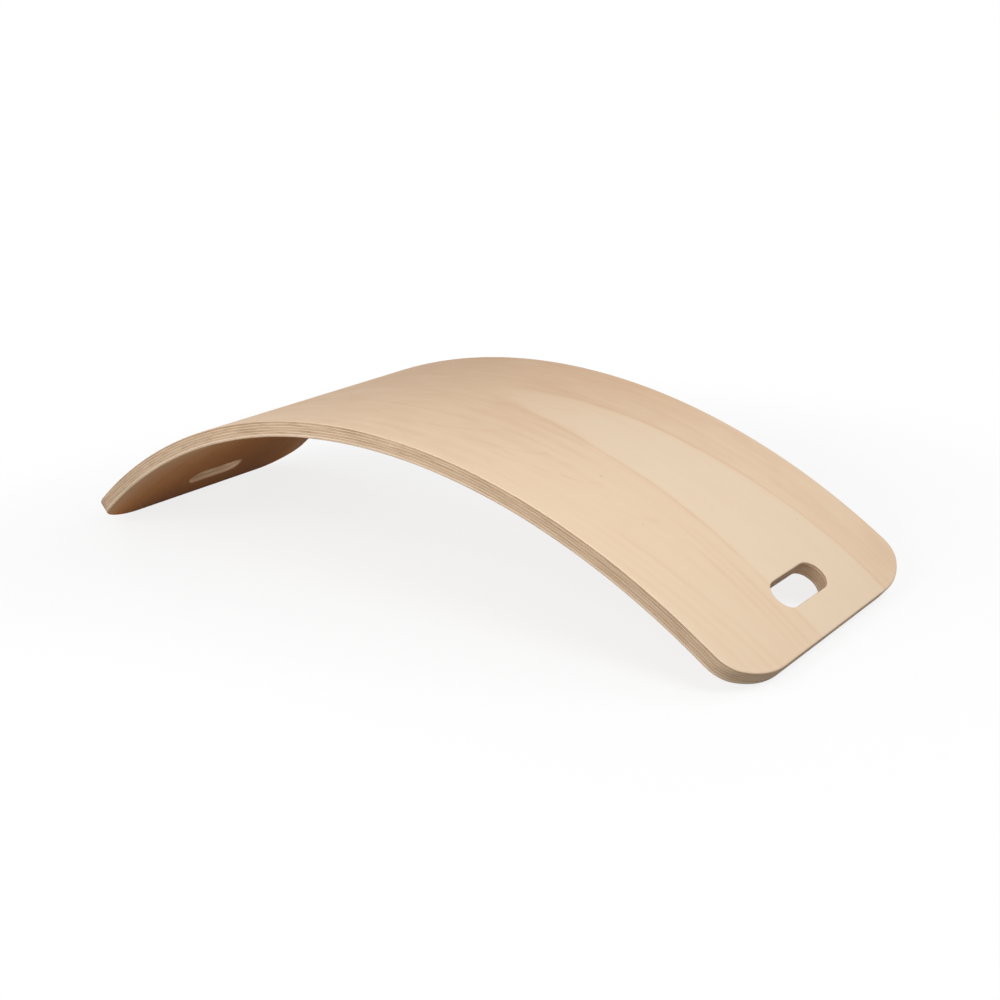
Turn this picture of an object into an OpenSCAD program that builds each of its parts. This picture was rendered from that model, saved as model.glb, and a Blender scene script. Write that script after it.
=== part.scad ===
// Wooden rocker arch: a bent plywood board that stands on its two ends as an arch, or rocks
// on its back as a shallow boat. It is one lay-up of thin veneers bent round one radius, with
// radial end faces, rounded corners and a hand slot near each end.
// Frame: X along the board, Y across it, Z up. The origin is on the floor under the crest,
// with the board standing as an arch.

/* [Board] */
// Length of the board, measured along the bend of its upper face
board_l = 944; // [760:2:1120]
// Width of the board
board_w = 300; // [240:2:400]
// Radius of the bend at the upper face
bend_r = 677; // [520:1:1000]

/* [Layers] */
// Thickness of each of the two face veneers
face_t = 0.6; // [0.4:0.05:1.2]
// Thickness of an inner ply whose grain runs across the board
cross_t = 1.25; // [0.8:0.05:2]
// Thickness of an inner ply whose grain runs along the board
long_t = 1.25; // [0.8:0.05:2]
// Thickness of the set glue between two plies
glue_t = 0.1; // [0.05:0.01:0.2]

/* [Rounded ends] */
// Radius of the tighter curve of a corner, where it leaves the long edge
corner_side_r = 29; // [18:1:36]
// Radius of the wider curve of a corner, where it runs into the end
corner_end_r = 77; // [50:1:90]
// Angle that the wider curve turns through before the tighter one takes over
corner_turn = 37; // [30:1:45]
// Radius of the rounded arris along every edge of the faces and slots
arris_r = 1.8; // [0.5:0.1:3]

/* [Hand slots] */
// Length of a hand slot, across the board
slot_l = 76; // [60:1:110]
// Width of a hand slot, along the board
slot_w = 28.8; // [22:0.2:36]
// Wood between a hand slot and the end of the board, along the bend
slot_margin = 33.3; // [24:0.1:50]

/* [Hidden] */
// Plies from the upper face to the lower one, by the first letter of face, cross and long.
LAY_UP = "fclclclclclcf";
PLIES = len(LAY_UP);
LAYERS = 2 * PLIES - 1; // a layer of glue lies between each ply and the next

function ply_kind(ply) = LAY_UP[ply];
function ply_t(ply) = ply_kind(ply) == "f" ? face_t : ply_kind(ply) == "c" ? cross_t : long_t;

// Even layers are plies, odd layers are glue.
function is_ply(layer) = layer % 2 == 0;
function layer_t(layer) = is_ply(layer) ? ply_t(layer / 2) : glue_t;
function depth_of(layer) = layer == 0 ? 0 : depth_of(layer - 1) + layer_t(layer - 1);
function outer_r(layer) = bend_r - depth_of(layer);
function inner_r(layer) = outer_r(layer) - layer_t(layer);
board_t = depth_of(LAYERS);

// How far a layer stops short of the board's outline, where the rounded arris cuts it,
// to a hundredth of a millimetre.
function face_gap(layer) =
    let (middle = depth_of(layer) + layer_t(layer) / 2) min(middle, board_t - middle);
function arris_cut(layer) =
    let (above = max(0, arris_r - face_gap(layer)))
    round(100 * (arris_r - sqrt(arris_r * arris_r - above * above))) / 100;

// Angles are at the centre of the bend, from the crest towards an end.
function angle_along(length) = length / bend_r * 180 / PI;
end_angle = angle_along(board_l / 2);
slot_angle = angle_along(board_l / 2 - slot_margin - slot_w / 2);

// Height of the centre of the bend: the lowest corner of any layer stands on the floor.
foot_z = min([for (layer = [0:LAYERS - 1])
    inner_r(layer) * cos(end_angle) + arris_cut(layer) * sin(end_angle)]);

arc_step = 5; // longest step between two points of a corner's curve, in degrees
clear = 20; // how far a cutting shape runs past what it cuts
$fn = 180;

// Names of the nodes, from the upper face down.
function count_before(ply, kind) = len([for (i = [0:1:ply - 1]) if (LAY_UP[i] == kind) i]);
function layer_name(layer) =
    !is_ply(layer) ? str("glue_line_", (layer + 1) / 2)
    : layer == 0 ? "upper_face_veneer"
    : layer == LAYERS - 1 ? "lower_face_veneer"
    : let (ply = layer / 2, kind = ply_kind(ply))
      str(kind == "c" ? "cross_ply_" : "long_ply_", count_before(ply, kind) + 1);

// Points on an arc about `centre`, from one direction to another.
function arc(centre, r, from, to) =
    let (steps = ceil(abs(to - from) / arc_step))
    [for (i = [0:steps])
        let (angle = from + (to - from) * i / steps) centre + r * [cos(angle), sin(angle)]];

// One corner of the board, with the end face on x = 0, from that face to the long edge. It is
// two arcs that meet in a common tangent: a wide one off the end, a tight one into the edge.
function corner(cut) =
    let (
        meet = [cos(corner_turn), sin(corner_turn)],
        apart = corner_end_r - corner_side_r,
        wide = [-corner_end_r, board_w / 2 - corner_side_r - apart * meet[1]],
        to_meet = arc(wide, corner_end_r - cut, 0, corner_turn),
        from_meet = arc(wide + apart * meet, corner_side_r - cut, corner_turn, 90)
    )
    concat(to_meet, [for (i = [1:len(from_meet) - 1]) from_meet[i]]);

// The outline of the right-hand half of the board, flat, as seen square to its end.
module end_outline(cut) {
    half = concat(corner(cut), [[-2 * bend_r, board_w / 2 - cut]]);
    polygon(concat(half, [for (i = [len(half) - 1:-1:0]) [half[i][0], -half[i][1]]]));
}

// Puts its children at an angle along the bend, with z = 0 on the upper face.
module on_bend(angle) {
    translate([0, 0, -foot_z])
        rotate([0, angle, 0])
            translate([0, 0, bend_r])
                children();
}

// Everything that the outline of the right-hand end keeps, with walls square to that end.
module end_trim(cut) {
    on_bend(end_angle)
        translate([0, 0, clear - 2 * bend_r])
            linear_extrude(2 * bend_r)
                end_outline(cut);
}

// The opening of the right-hand hand slot, with walls square to the board at its middle.
module slot_opening(cut) {
    h = board_t + 2 * clear;
    w = slot_w + 2 * cut;
    straight = slot_l - slot_w;
    on_bend(slot_angle)
        translate([0, 0, -board_t - clear]) {
            translate([-w / 2, -straight / 2, 0])
                cube([w, straight, h]);
            for (side = [-1, 1])
                translate([0, side * straight / 2, 0])
                    cylinder(h, d = w);
        }
}

// One layer bent to its own radius, before its outline is cut.
module bent_blank(layer) {
    sweep = 2 * (end_angle + angle_along(clear));
    translate([0, 0, -foot_z])
        rotate([90, 0, 0])
            rotate_extrude(angle = sweep, start = 90 - sweep / 2)
                translate([inner_r(layer), -board_w / 2 - clear])
                    square([layer_t(layer), board_w + 2 * clear]);
}

// One finished layer: bent, cut to the outline at both ends, and slotted.
module bent_layer(layer) {
    cut = arris_cut(layer);
    difference() {
        intersection() {
            bent_blank(layer);
            end_trim(cut);
            mirror([1, 0, 0]) end_trim(cut);
        }
        slot_opening(cut);
        mirror([1, 0, 0]) slot_opening(cut);
    }
}

// Face veneer: smooth light wood with its grain along the board.
module face_veneer(layer) {
    color("#e3cdb2") bent_layer(layer);
}

// Cross ply: its end grain shows as a dark band along the long edges.
module cross_ply(layer) {
    color("#a9886a") bent_layer(layer);
}

// Long ply: its side grain shows as a light band along the long edges.
module long_ply(layer) {
    color("#cbae8d") bent_layer(layer);
}

// Glue line: the set film of glue between two plies.
module glue_line(layer) {
    color("#7d5c41") bent_layer(layer);
}

for (layer = [0:LAYERS - 1])
    union() {
        if (!is_ply(layer)) glue_line(layer);
        else if (ply_kind(layer / 2) == "f") face_veneer(layer);
        else if (ply_kind(layer / 2) == "c") cross_ply(layer);
        else long_ply(layer);
    }
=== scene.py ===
from math import acos, asin, ceil, cos, inf, pi, radians, sin, sqrt

import bpy
from mathutils import Matrix, Vector
from mathutils.geometry import delaunay_2d_cdt
from mathutils.kdtree import KDTree


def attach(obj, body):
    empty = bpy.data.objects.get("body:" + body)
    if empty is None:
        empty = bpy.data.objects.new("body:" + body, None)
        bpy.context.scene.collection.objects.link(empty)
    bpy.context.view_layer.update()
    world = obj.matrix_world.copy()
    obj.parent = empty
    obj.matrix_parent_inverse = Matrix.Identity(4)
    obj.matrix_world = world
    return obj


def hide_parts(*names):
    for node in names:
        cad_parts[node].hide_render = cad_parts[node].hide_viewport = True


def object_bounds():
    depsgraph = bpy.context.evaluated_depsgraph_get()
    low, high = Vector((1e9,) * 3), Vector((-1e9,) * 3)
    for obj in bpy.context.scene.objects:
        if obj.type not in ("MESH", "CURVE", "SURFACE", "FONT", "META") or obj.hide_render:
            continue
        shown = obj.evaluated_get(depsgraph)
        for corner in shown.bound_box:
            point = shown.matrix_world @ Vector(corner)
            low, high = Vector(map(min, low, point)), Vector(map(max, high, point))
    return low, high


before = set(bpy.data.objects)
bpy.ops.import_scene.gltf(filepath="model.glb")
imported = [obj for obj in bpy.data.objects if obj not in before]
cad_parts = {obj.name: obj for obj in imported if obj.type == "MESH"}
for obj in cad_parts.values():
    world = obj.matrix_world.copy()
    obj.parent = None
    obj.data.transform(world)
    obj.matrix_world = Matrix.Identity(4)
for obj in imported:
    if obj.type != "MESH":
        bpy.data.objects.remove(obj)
cad_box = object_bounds()

# ---- The camera --------------------------------------------------------------------------------
# The board is seen from its right-hand end and a little above, from about 1.4 m away, with a
# normal lens. The picture is rolled a few degrees, so the standing board looks tipped.
AZIMUTH, ELEVATION, ROLL = radians(41.05), radians(18.23), radians(-4.04)
CAMERA_PLACE = (0.9045, -0.9624, 0.4838)
LENS = 48.4  # in millimetres

back = Vector((sin(AZIMUTH) * cos(ELEVATION), -cos(AZIMUTH) * cos(ELEVATION), sin(ELEVATION)))
level_right = Vector((cos(AZIMUTH), sin(AZIMUTH), 0))
level_up = back.cross(level_right)
right = cos(ROLL) * level_right + sin(ROLL) * level_up
up = cos(ROLL) * level_up - sin(ROLL) * level_right
camera = bpy.data.objects.new("camera", bpy.data.cameras.new("camera"))
camera.data.lens = LENS
camera.matrix_world = Matrix.Translation(CAMERA_PLACE) @ Matrix((right, up, back)).transposed().to_4x4()
bpy.context.scene.collection.objects.link(camera)
bpy.context.scene.camera = camera

# ---- Face veneers ------------------------------------------------------------------------------
# Two sheets of sliced birch, 0.6 mm thick, the first and last plies of the board, with their
# grain along it. The whole stack is pressed over a round former, then sawn to outline and
# slotted, so every layer shares one outline, and a 1.8 mm round is worked along all the edges.
FACE_T, PLY_T, GLUE_T = 0.6, 1.25, 0.1  # layer thicknesses; sizes here are in millimetres
INNER_PLIES = 11
BOARD_T = 2 * FACE_T + INNER_PLIES * PLY_T + (INNER_PLIES + 1) * GLUE_T
BEND_R = 677  # of the upper face
HALF_LENGTH = 472  # along the bend of the upper face
HALF_WIDTH = 150
CORNER_SIDE_R, CORNER_END_R = 29, 77  # a tight arc off the long edge, a wide one into the end
CORNER_TURN = 37  # degrees that the wide arc turns through
ARRIS_R = 1.8
SLOT_HALF_WIDTH = 14.4  # along the board
SLOT_HALF_STRAIGHT = 23.6  # across the board, from its middle to the centre of a round end
SLOT_MARGIN = 33.3  # of wood between a slot and the end
SLOT_AT = HALF_LENGTH - SLOT_MARGIN - SLOT_HALF_WIDTH
SIDE_STEP = 5  # between the points along a long edge
CREST_Z = 1000 * cad_box[1][2]


# A point of a layer is (anchor, along, y, out_x, out_y). Its walls are square to the board at
# the anchor, a length along the bend. The point lies `along` from there, and y across the board.
# (out_x, out_y) points out of the wood, and is (0, 0) for a point inside the outline.
def evenly(start, end, step):
    count = ceil(abs(end - start) / step)
    return [start + (end - start) * i / count for i in range(count)]


def arc(anchor, centre, radius, start, end, step, outwards=1):
    made = []
    for angle in evenly(radians(start), radians(end), radians(step)):
        made.append((anchor, centre[0] + radius * cos(angle), centre[1] + radius * sin(angle),
                     outwards * cos(angle), outwards * sin(angle)))
    return made


def all_round(quarter):
    """A closed loop, anticlockwise, from the quarter that runs from its right side to its back."""
    def mirrored(points, x, y):
        return [(x * p[0], x * p[1], y * p[2], x * p[3], y * p[4]) for p in points]
    turned = quarter[::-1]
    return (quarter[:-1] + mirrored(turned[:-1], -1, 1)
            + mirrored(quarter[:-1], -1, -1) + mirrored(turned[:-1], 1, -1))


turn = radians(CORNER_TURN)
apart = CORNER_END_R - CORNER_SIDE_R
wide_centre = (-CORNER_END_R, HALF_WIDTH - CORNER_SIDE_R - apart * sin(turn))
tight_centre = (wide_centre[0] + apart * cos(turn), wide_centre[1] + apart * sin(turn))
outline = all_round(
    [(HALF_LENGTH, 0, y, 1, 0) for y in evenly(0, wide_centre[1], step=8)]
    + arc(HALF_LENGTH, wide_centre, CORNER_END_R, 0, CORNER_TURN, step=4)
    + arc(HALF_LENGTH, tight_centre, CORNER_SIDE_R, CORNER_TURN, 90, step=5)
    + [(HALF_LENGTH, tight_centre[0], HALF_WIDTH, 0, 1)]
    + [(s, 0, HALF_WIDTH, 0, 1)
       for s in evenly(HALF_LENGTH + tight_centre[0] - SIDE_STEP, 0, step=SIDE_STEP)]
    + [(0, 0, HALF_WIDTH, 0, 1)])
slot = all_round(
    [(0, SLOT_HALF_WIDTH, y, -1, 0) for y in evenly(0, SLOT_HALF_STRAIGHT, step=6)]
    + arc(0, (0, SLOT_HALF_STRAIGHT), SLOT_HALF_WIDTH, 0, 90, step=7.5, outwards=-1)
    + [(0, 0, SLOT_HALF_STRAIGHT + SLOT_HALF_WIDTH, 0, -1)])[::-1]
loops = [outline] + [[(side * SLOT_AT + p[0], *p[1:]) for p in slot] for side in (-1, 1)]
edge_points = [p for loop in loops for p in loop]


def inset(depth):
    """How far the rounded arris takes the outline in, at a depth below the upper face."""
    past = max(0, ARRIS_R - min(depth, BOARD_T - depth))
    return ARRIS_R - sqrt(ARRIS_R ** 2 - past ** 2)


def flat(point, cut):
    return Vector((point[0] + point[1] - cut * point[3], point[2] - cut * point[4]))


def triangles(inner, cut):
    """Triangles over the wood between the loops, by number in edge_points + inner."""
    pairs, start = [], 0
    for loop in loops:
        pairs += [(start + i, start + (i + 1) % len(loop)) for i in range(len(loop))]
        start += len(loop)
    inside_outline = 1
    weld_distance = 1e-5
    _, _, faces, came_from, _, _ = delaunay_2d_cdt(
        [flat(p, cut) for p in edge_points + inner], pairs, [], inside_outline, weld_distance)
    faces = [[came_from[i][0] for i in face] for face in faces]
    # A triangle that lies in a slot has all its corners on that slot's loop.
    return [face for face in faces
            if {(i - len(outline)) // len(slot) for i in face} not in ({0}, {1})]


# The faces that show are meshed finely. Where two layers meet, a coarse mesh is enough, as long
# as its triangles don't cut the bend short and come through the face veneer.
EDGE_BAND = 4  # inner points keep this far from the outline and the slots
FIRST_ROW = 10  # their first row lies this far in from the near long edge
near_edge = KDTree(len(edge_points))
for number, point in enumerate(edge_points):
    near_edge.insert((*flat(point, ARRIS_R), 0), number)
near_edge.balance()


def well_inside(s, y):
    nearest, number, away = near_edge.find((s, y, 0))
    out_x, out_y = edge_points[number][3:]
    return away > EDGE_BAND and (s - nearest.x) * out_x + (y - nearest.y) * out_y < 0


def inner_points(step_s, step_y):
    return [(s, 0, y, 0, 0)
            for s in evenly(-HALF_LENGTH, HALF_LENGTH, step_s)
            for y in evenly(-HALF_WIDTH + FIRST_ROW, HALF_WIDTH, step_y)
            if well_inside(s, y)]


fine_points = inner_points(step_s=5, step_y=14)
coarse_points = inner_points(step_s=16, step_y=40)
fine_faces = triangles(fine_points, cut=ARRIS_R)
coarse_faces = triangles(coarse_points, cut=0)
LEAST_STRIP = 0.02  # no strip of a layer's wall is lower than this


def placed(point, depth, cut):
    """Where a point of the flat pattern comes once it is bent, in metres, and its place in the
    wood: along the bend, across the board and down from the upper face, in millimetres."""
    radius = BEND_R - depth
    angle = point[0] / BEND_R + asin((point[1] - cut * point[3]) / radius)
    y = point[2] - cut * point[4]
    place = Vector((radius * sin(angle), y, radius * cos(angle) - BEND_R + CREST_Z)) / 1000
    return place, (angle * BEND_R, y, depth), Vector((sin(angle), 0, cos(angle)))


def bent_layer(name, node, top, material):
    """A closed mesh of one layer, from its top to the next layer's, that stands for a node."""
    bottom = top + (FACE_T if "veneer" in node else GLUE_T if "glue" in node else PLY_T)
    round_steps = [ARRIS_R * (1 - cos(radians(angle))) for angle in range(0, 91, 15)]
    steps = [d for d in round_steps + [BOARD_T - d for d in round_steps[::-1]]
             if top + LEAST_STRIP < d < bottom - LEAST_STRIP]
    depths = [top, *steps, bottom]
    places, in_wood, radial = [], [], []
    faces, normals = [], []

    def put(points, depth, cut):
        first = len(places)
        for p in points:
            for made, value in zip((places, in_wood, radial), placed(p, depth, cut)):
                made.append(value)
        return first

    def wall_normal(point, number, depth):
        gap = min(depth, BOARD_T - depth)
        tilt = acos(max(0, ARRIS_R - gap) / ARRIS_R)
        if depth > BOARD_T / 2:
            tilt = pi - tilt
        anchor = point[0] / BEND_R
        out = Vector((point[3] * cos(anchor), point[4], -point[3] * sin(anchor)))
        return cos(tilt) * radial[number] + sin(tilt) * out

    rings = [put(edge_points, depth, inset(depth)) for depth in depths]
    for k, (upper, lower) in enumerate(zip(rings, rings[1:])):
        start = 0
        for loop in loops:
            for i in range(len(loop)):
                a, b = start + i, start + (i + 1) % len(loop)
                corners = [(lower, a, k + 1), (lower, b, k + 1), (upper, b, k), (upper, a, k)]
                faces.append([ring + n for ring, n, _ in corners])
                normals += [wall_normal(edge_points[n], ring + n, depths[level])
                            for ring, n, level in corners]
            start += len(loop)
    for ring, depth, facing in ((rings[0], top, 1), (rings[-1], bottom, -1)):
        shows = depth in (0, BOARD_T)
        inner = put(fine_points if shows else coarse_points, depth, 0)
        for face in fine_faces if shows else coarse_faces:
            corners = [ring + n if n < len(edge_points) else inner + n - len(edge_points)
                       for n in face[::facing]]
            faces.append(corners)
            normals += [facing * radial[n] for n in corners]

    mesh = bpy.data.meshes.new(name)
    mesh.from_pydata(places, [], faces)
    mesh.shade_smooth()
    mesh.normals_split_custom_set(normals)
    wood = mesh.attributes.new("in_wood", "FLOAT_VECTOR", "POINT")
    wood.data.foreach_set("vector", [value for point in in_wood for value in point])
    mesh.materials.append(material)
    piece = bpy.data.objects.new(name, mesh)
    bpy.context.scene.collection.objects.link(piece)
    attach(piece, "root")
    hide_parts(node)
    return bottom


def linear(hex_colour):
    parts = [int(hex_colour[i:i + 2], 16) / 255 for i in (1, 3, 5)]
    return [c / 12.92 if c <= 0.04045 else ((c + 0.055) / 1.055) ** 2.4 for c in parts] + [1]


def add(tree, kind, inputs=(), **settings):
    """Adds a node. inputs gives each socket, by name or number, a value or a socket to link."""
    made = tree.nodes.new(kind)
    for name, value in settings.items():
        setattr(made, name, value)
    for socket, value in dict(inputs).items():
        if isinstance(value, bpy.types.NodeSocket):
            tree.links.new(value, made.inputs[socket])
        else:
            made.inputs[socket].default_value = value
    return made


# Birch, sanded fine and finished with a thin matt lacquer: pale cream to pinkish tan, so even
# that the growth rings only just show, with no more than a breath of gloss.
birch = bpy.data.materials.new("lacquered_birch_face")
birch.use_nodes = True
tree = birch.node_tree
shader = tree.nodes["Principled BSDF"]
shader.inputs["IOR"].default_value = 1.5
shader.inputs["Specular IOR Level"].default_value = 0.05
shader.inputs["Roughness"].default_value = 0.7


def sum_of(*parts):
    """A socket with the sum of sockets and numbers."""
    total = parts[0]
    for part in parts[1:]:
        total = add(tree, "ShaderNodeMath", {0: total, 1: part}, operation="ADD").outputs[0]
    return total


def times(socket, factor):
    return add(tree, "ShaderNodeMath", {0: socket, 1: factor}, operation="MULTIPLY").outputs[0]


def rises(socket, start, end):
    """0 up to start and 1 from end, with a smooth rise between. start may be the larger."""
    return add(tree, "ShaderNodeMapRange", {"Value": socket, 1: start, 2: end},
               interpolation_type="SMOOTHSTEP").outputs[0]


def grain(size_s, size_y, size_down=inf, detail=3, distortion=0):
    """Noise between -0.5 and 0.5, by its sizes along, across and down through the board."""
    place = add(tree, "ShaderNodeVectorMath", {0: wood, 1: (1 / size_s, 1 / size_y, 1 / size_down)},
                operation="MULTIPLY")
    noise = add(tree, "ShaderNodeTexNoise", {"Vector": place.outputs[0], "Scale": 1, "Detail": detail,
                                             "Distortion": distortion})
    return sum_of(noise.outputs["Fac"], -0.5)


def growth_lines(ring, count, softness):
    """Soft lines where a ring number is 0, 1, 2 and so on; softness is a share of a ring."""
    off_line = add(tree, "ShaderNodeMath", {0: ring, 1: 0.5}, operation="PINGPONG").outputs[0]
    among = add(tree, "ShaderNodeMath", {0: ring, 1: (count - 1) / 2, 2: count / 2},
                operation="COMPARE").outputs[0]
    return times(rises(off_line, softness, 0), among)


def nest(y_axis, opening):
    """How far (y - y_axis)^2 / opening lags behind s: the arch that passes through a point."""
    off_axis = sum_of(y, -y_axis)
    return times(times(off_axis, off_axis), 1 / opening)


wood = add(tree, "ShaderNodeAttribute", attribute_name="in_wood").outputs["Vector"]
# The lower sheet is cut further down the same log, so its figure is another one.
depth = add(tree, "ShaderNodeSeparateXYZ", {0: wood}).outputs["Z"]
is_lower = add(tree, "ShaderNodeMath", {0: depth, 1: BOARD_T / 2}, operation="GREATER_THAN").outputs[0]
elsewhere = add(tree, "ShaderNodeCombineXYZ", {"X": times(is_lower, -260), "Y": times(is_lower, 35)})
wood = add(tree, "ShaderNodeVectorMath", {0: wood, 1: elsewhere.outputs[0]}, operation="ADD").outputs[0]
axes = add(tree, "ShaderNodeSeparateXYZ", {0: wood})
s = axes.outputs["X"]
# The rings wander by a few millimetres over a hand's breadth.
y = sum_of(axes.outputs["Y"], times(grain(150, 45, detail=2), 7))

# Where the knife nears the heart of the log, the rings come out as long arches. The innermost
# here, 29 mm behind the middle, holds the palest wood, and fades out near the crest. Past some
# 410 mm from the crest they stop opening and run on side by side.
s_flame = add(tree, "ShaderNodeMath", {0: s, 1: 410, 2: 110}, operation="SMOOTH_MIN").outputs[0]
flame = sum_of(nest(29, 8.9), times(s_flame, -1))
flame_shows = rises(s, 10, 190)
# Ring numbers of three fainter groups: one beside the flame, one by the front edge and to the
# right, and one of small arches between them.
beside_flame = times(sum_of(times(y, -1), times(s, -0.07), -18), 1 / 9)
by_edge = times(sum_of(times(y, -1), times(s, 0.08), -136), 1 / 11)
small_arches = times(sum_of(s, nest(-62, 20), -122), 1 / 62)
# The left-hand half, which the camera doesn't see, has long arches that open the other way.
left_arches = times(sum_of(times(s, -1), times(nest(-20, 9), -1), -110), 1 / 58)

# Tone of the wood, from 0 for the palest to 1 for the darkest.
tone = sum_of(
    0.4,
    times(times(rises(flame, 20, -70), flame_shows), -0.24),
    times(times(growth_lines(times(flame, 1 / 100), 1, 0.5), flame_shows), 0.12),
    times(times(growth_lines(beside_flame, 3, 0.45), rises(s, 300, 350)), 0.09),
    times(times(growth_lines(by_edge, 4, 0.45), rises(s, 190, 330)), 0.1),
    times(times(growth_lines(small_arches, 4, 0.12),
                times(rises(y, -58, -66), rises(y, -112, -92))), 0.07),
    times(times(growth_lines(left_arches, 6, 0.4), rises(s, -120, -210)), 0.13),
    times(rises(s, 280, 110), 0.13),
    times(y, 0.0006),
    times(grain(60, 1.1), 0.12),
    times(grain(240, 9), 0.26),
    times(grain(55, 24, detail=2, distortion=0.8), 0.22))
colour = add(tree, "ShaderNodeValToRGB", {0: tone})
colour.color_ramp.elements[0].color = linear("#ead8bf")
colour.color_ramp.elements[1].color = linear("#d4a683")
middle = colour.color_ramp.elements.new(0.4)
middle.color = linear("#e9cfb2")

# Birch is known by its flecks: dark marks about 1 mm by 3 mm, about a hand's breadth apart.
fleck_map = add(tree, "ShaderNodeVectorMath", {0: wood, 1: (1 / 34, 1 / 14, 0)}, operation="MULTIPLY")
flecks = add(tree, "ShaderNodeTexVoronoi", {"Vector": fleck_map.outputs[0], "Scale": 1})
fleck_size = add(tree, "ShaderNodeSeparateColor", {0: flecks.outputs["Color"]})
fleck_reach = add(tree, "ShaderNodeMapRange",
                  {"Value": fleck_size.outputs["Red"], 1: 0.9, 2: 1, 3: 0, 4: 0.07}).outputs[0]
fleck = add(tree, "ShaderNodeMath", {0: flecks.outputs["Distance"], 1: fleck_reach},
            operation="LESS_THAN").outputs[0]
flecked = add(tree, "ShaderNodeMix", {"Factor": times(fleck, 0.3), 6: colour.outputs["Color"],
                                      7: linear("#a07850")}, data_type="RGBA")
tree.links.new(flecked.outputs[2], shader.inputs["Base Color"])

# The sanded grain stands up by a few hundredths of a millimetre.
relief = add(tree, "ShaderNodeBump", {"Height": grain(60, 1.1), "Strength": 0.25, "Distance": 0.00004})
tree.links.new(relief.outputs[0], shader.inputs["Normal"])

# The lower sheet is a hair paler. It is only ever seen in its own shade, where nothing pale
# mirrors in it, so it has no gloss.
under_birch = birch.copy()
under_birch.name = "lacquered_birch_underside"
under_birch.node_tree.nodes[shader.name].inputs["Specular IOR Level"].default_value = 0
under_ramp = under_birch.node_tree.nodes[colour.name].color_ramp
for element, hex_colour in zip(under_ramp.elements, ("#ead9bf", "#e9d1b5", "#d4a783")):
    element.color = linear(hex_colour)

depth_after = bent_layer("upper_face_veneer_sheet", "upper_face_veneer", 0, birch)
bent_layer("lower_face_veneer_sheet", "lower_face_veneer", BOARD_T - FACE_T, under_birch)

# ---- Inner plies -------------------------------------------------------------------------------
# Eleven birch veneers 1.25 mm thick, peeled from the log. Six cross plies have their grain
# across the board and five long plies have it along the board, turn about. Their sanded edges
# are all that shows: end grain soaks up lacquer and goes dark, side grain stays pale.
PLY_PITCH = PLY_T + GLUE_T
edge_woods = {}
for name, grain_across in (("birch_cross_ply_edge", True), ("birch_long_ply_edge", False)):
    # Birch ply as the saw and the sander leave its edge: tan, dull, and never quite even.
    edge_woods[name] = bpy.data.materials.new(name)
    edge_woods[name].use_nodes = True
    tree = edge_woods[name].node_tree
    shader = tree.nodes["Principled BSDF"]
    shader.inputs["IOR"].default_value = 1.5
    shader.inputs["Specular IOR Level"].default_value = 0.02
    shader.inputs["Roughness"].default_value = 0.7
    wood = add(tree, "ShaderNodeAttribute", attribute_name="in_wood").outputs["Vector"]
    depth = add(tree, "ShaderNodeSeparateXYZ", {0: wood}).outputs["Z"]
    surface = add(tree, "ShaderNodeNewGeometry")
    facing = add(tree, "ShaderNodeSeparateXYZ", {0: surface.outputs["True Normal"]})
    is_end = add(tree, "ShaderNodeMath", {0: facing.outputs["Y"]}, operation="ABSOLUTE").outputs[0]
    if not grain_across:
        is_end = sum_of(1, times(is_end, -1))
    # Cut fibres are dots 1.4 mm wide and 0.5 mm high, long fibres are streaks 30 mm long and
    # 0.3 mm high. Both are drawn as coarse as the picture can show.
    cut_fibres = grain(1.4, 1.4, 0.5, detail=2)
    long_fibres = grain(30, 30, 0.3, detail=2)
    # No two plies are alike, and each of them changes along its length.
    from_ply = grain(50, 50, PLY_PITCH, detail=2)
    # Next to a glue line the wood is bruised and soaked with resin, in broken dark lines.
    ply_number = times(sum_of(depth, -FACE_T - GLUE_T / 2), 1 / PLY_PITCH)
    off_border = add(tree, "ShaderNodeMath", {0: ply_number, 1: 0.5}, operation="PINGPONG").outputs[0]
    soaked = times(rises(off_border, 0.22, 0.04), rises(grain(20, 20, PLY_PITCH, detail=2), -0.05, 0.1))
    # The ply under the upper face is a dark one, and the last two above the lower face are painted
    # paler: painted light from the floor, caught near the lower arris.
    tone = sum_of(0.24, times(is_end, 0.26), times(times(cut_fibres, is_end), 0.4),
                  times(long_fibres, 0.3), times(from_ply, 0.8), times(soaked, 0.6),
                  times(rises(depth, 2.2, 1.3), 0.14), times(rises(depth, 11.6, 13.2), -0.3))
    colour = add(tree, "ShaderNodeValToRGB", {0: tone})
    colour.color_ramp.elements[0].color = linear("#ead2b8")
    colour.color_ramp.elements[1].color = linear("#846b56")
    middle = colour.color_ramp.elements.new(0.5)
    middle.color = linear("#cbad8e")
    tree.links.new(colour.outputs["Color"], shader.inputs["Base Color"])
    relief = add(tree, "ShaderNodeBump", {"Height": cut_fibres, "Strength": 0.2, "Distance": 0.00005})
    tree.links.new(relief.outputs[0], shader.inputs["Normal"])

# ---- Glue lines --------------------------------------------------------------------------------
# Between each two plies lies a film of urea resin, 0.1 mm thick, which sets in the hot press.
# On the sanded edge it shows as a hair line, darker and glossier than the wood beside it.
resin = bpy.data.materials.new("set_urea_resin")
resin.use_nodes = True
tree = resin.node_tree
shader = tree.nodes["Principled BSDF"]
shader.inputs["IOR"].default_value = 1.55
shader.inputs["Roughness"].default_value = 0.35
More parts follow.
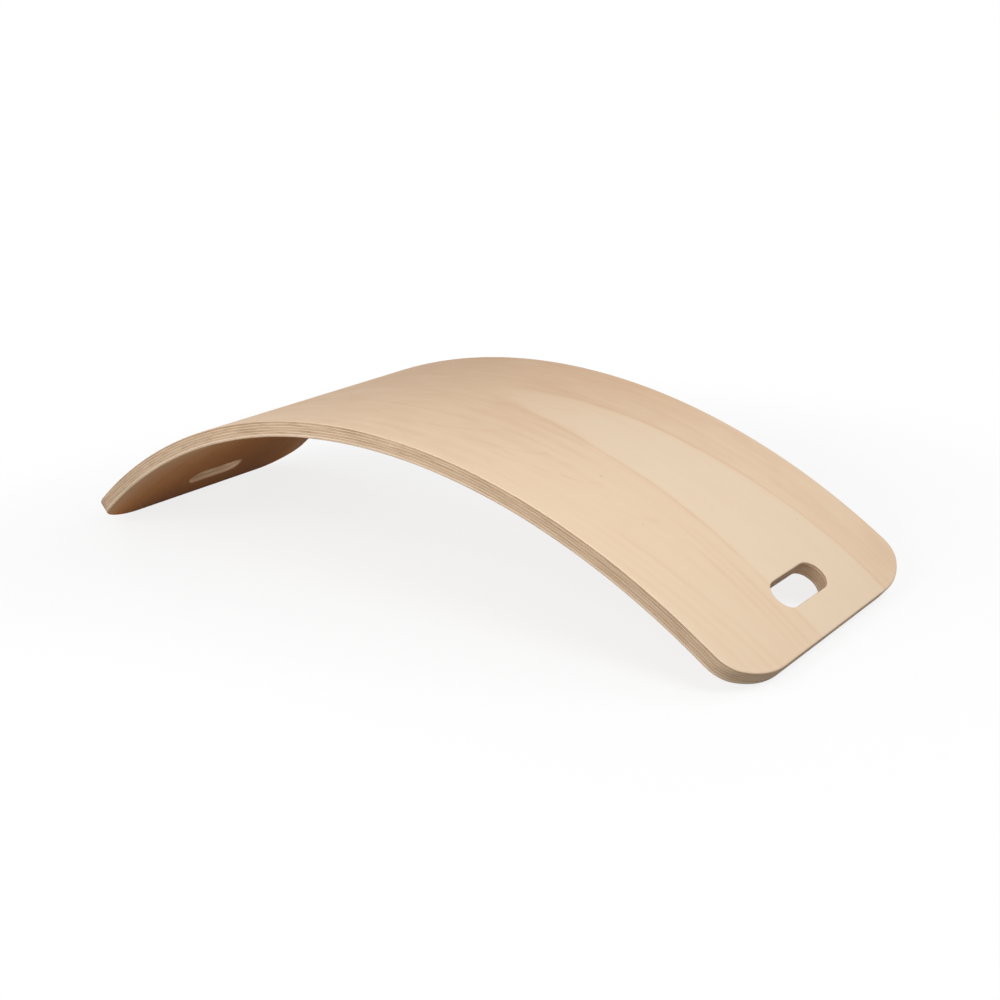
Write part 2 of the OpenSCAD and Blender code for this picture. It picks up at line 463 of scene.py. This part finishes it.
# The press squeezed it out unevenly, in patches some 6 mm long.
wood = add(tree, "ShaderNodeAttribute", attribute_name="in_wood").outputs["Vector"]
squeeze_map = add(tree, "ShaderNodeVectorMath", {0: wood, 1: (1 / 6, 1 / 6, 1)}, operation="MULTIPLY")
squeeze = add(tree, "ShaderNodeTexNoise", {"Vector": squeeze_map.outputs[0], "Scale": 1, "Detail": 2})
resin_colour = add(tree, "ShaderNodeValToRGB", {0: squeeze.outputs["Fac"]})
resin_colour.color_ramp.elements[0].position = 0.35
resin_colour.color_ramp.elements[0].color = linear("#6a4a33")
resin_colour.color_ramp.elements[1].position = 0.7
resin_colour.color_ramp.elements[1].color = linear("#97765a")
tree.links.new(resin_colour.outputs["Color"], shader.inputs["Base Color"])

for ply in range(1, INNER_PLIES + 1):
    depth_after = bent_layer(f"glue_line_{ply}_film", f"glue_line_{ply}", depth_after, resin)
    kind = "cross_ply" if ply % 2 == 1 else "long_ply"
    node = f"{kind}_{(ply + 1) // 2}"
    depth_after = bent_layer(f"{node}_sheet", node, depth_after, edge_woods[f"birch_{kind}_edge"])
bent_layer("glue_line_12_film", "glue_line_12", depth_after, resin)

# ---- Floor, light and world --------------------------------------------------------------------
# A plain pale floor, white to the camera, that runs into a white world and keeps the shadow.
# Lengths in this section are in metres.
FLOOR_HALF = 6.0
floor_corners = [(x * FLOOR_HALF, y * FLOOR_HALF, 0) for x, y in ((-1, -1), (1, -1), (1, 1), (-1, 1))]
floor_mesh = bpy.data.meshes.new("floor")
floor_mesh.from_pydata(floor_corners, [], [(0, 1, 2, 3)])
floor = bpy.data.objects.new("floor", floor_mesh)
bpy.context.scene.collection.objects.link(floor)


def is_looked_at():
    """1 for what the camera sees, also in a mirror or through glass, and 0 for what gives light."""
    rays = add(tree, "ShaderNodeLightPath")
    share = rays.outputs["Is Camera Ray"]
    for ray in ("Is Glossy Ray", "Is Transmission Ray"):
        share = add(tree, "ShaderNodeMath", {0: share, 1: rays.outputs[ray]},
                    operation="MAXIMUM").outputs[0]
    return share


paper = bpy.data.materials.new("pale_paper_floor")
paper.use_nodes = True
tree = paper.node_tree
tree.nodes.remove(tree.nodes["Principled BSDF"])
looked_at = is_looked_at()
seen = add(tree, "ShaderNodeBsdfDiffuse", {"Color": linear("#f5f6f8")})
place = add(tree, "ShaderNodeNewGeometry").outputs["Position"]
# The light the floor sends up is painted. Beneath the arch it is a painted bounce, brown, that
# stands for light gone to and fro between floor and wood, a little further out at the left-hand
# end, which stands in the deepest shade. Around the arch the floor is a plain grey.
from_middle = add(tree, "ShaderNodeVectorMath", {0: place, 1: (0.05, 0, 0)}, operation="ADD").outputs[0]
either_way = add(tree, "ShaderNodeVectorMath", {0: from_middle}, operation="ABSOLUTE").outputs[0]
off_middle = add(tree, "ShaderNodeSeparateXYZ", {0: either_way})
beneath = times(rises(off_middle.outputs["X"], 0.44, 0.39), rises(off_middle.outputs["Y"], 0.17, 0.13))
painted_bounce_colour = add(tree, "ShaderNodeMix", {"Factor": beneath, 6: linear("#acaead"), 7: linear("#ba843a")},
              data_type="RGBA")
bounce = add(tree, "ShaderNodeBsdfDiffuse", {"Color": painted_bounce_colour.outputs[2]})
# By the board the floor is four fifths white to the camera, and from 0.8 m out it is all white.
far = add(tree, "ShaderNodeVectorMath", {0: place}, operation="LENGTH").outputs["Value"]
fade = add(tree, "ShaderNodeMapRange", {"Value": far, 1: 0.35, 2: 0.8, 3: 0.8},
           interpolation_type="SMOOTHSTEP").outputs[0]
white = add(tree, "ShaderNodeEmission", {"Color": (1, 1, 1, 1), "Strength": 1})
faded = add(tree, "ShaderNodeMixShader", {0: fade, 1: seen.outputs[0], 2: white.outputs[0]})
floor_look = add(tree, "ShaderNodeMixShader", {0: looked_at, 1: bounce.outputs[0], 2: faded.outputs[0]})
tree.links.new(floor_look.outputs[0], tree.nodes["Material Output"].inputs["Surface"])
floor_mesh.materials.append(paper)

world = bpy.data.worlds.new("soft_white_room")
bpy.context.scene.world = world
world.use_nodes = True
tree = world.node_tree
looked_at = is_looked_at()
ambient = add(tree, "ShaderNodeBackground", {"Color": (1, 0.98, 0.96, 1), "Strength": 0.3})
backdrop = add(tree, "ShaderNodeBackground", {"Color": (1, 1, 1, 1), "Strength": 1})
room = add(tree, "ShaderNodeMixShader", {0: looked_at, 1: ambient.outputs[0], 2: backdrop.outputs[0]})
tree.links.new(room.outputs[0], tree.nodes["World Output"].inputs["Surface"])

# Soft round lamps stand one to two metres off. The strongest are at the right-hand end and in
# front, so that the crest turns away from them and the underside stays dark. Two low ones fill in
# the left-hand end and the back. Each has a place, a width and its watts.
LAMP_AIM = Vector((0, 0, 0.1))
lamps = {"right_lamp": ((1.0, -0.3, 0.9), 0.6, 5.6), "front_lamp": ((-0.05, -0.9, 0.55), 0.8, 5.9),
         "back_lamp": ((0.8, 0.5, 0.9), 0.6, 2.4), "left_back_lamp": ((-0.8, 1.8, 0.5), 0.9, 1.2),
         "left_lamp": ((-1.2, 0.25, 0.12), 0.24, 4.2), "low_back_lamp": ((0.1, 1.3, 0.15), 0.5, 2.2)}
for name, (place, width, power) in lamps.items():
    lamp = bpy.data.objects.new(name, bpy.data.lights.new(name, "AREA"))
    lamp.data.shape = "DISK"
    lamp.data.size = width
    lamp.data.energy = power
    lamp.location = place
    lamp.rotation_euler = (Vector(place) - LAMP_AIM).to_track_quat("Z", "Y").to_euler()
    lamp.visible_camera = False
    bpy.context.scene.collection.objects.link(lamp)

bpy.context.scene.view_settings.view_transform = "Standard"
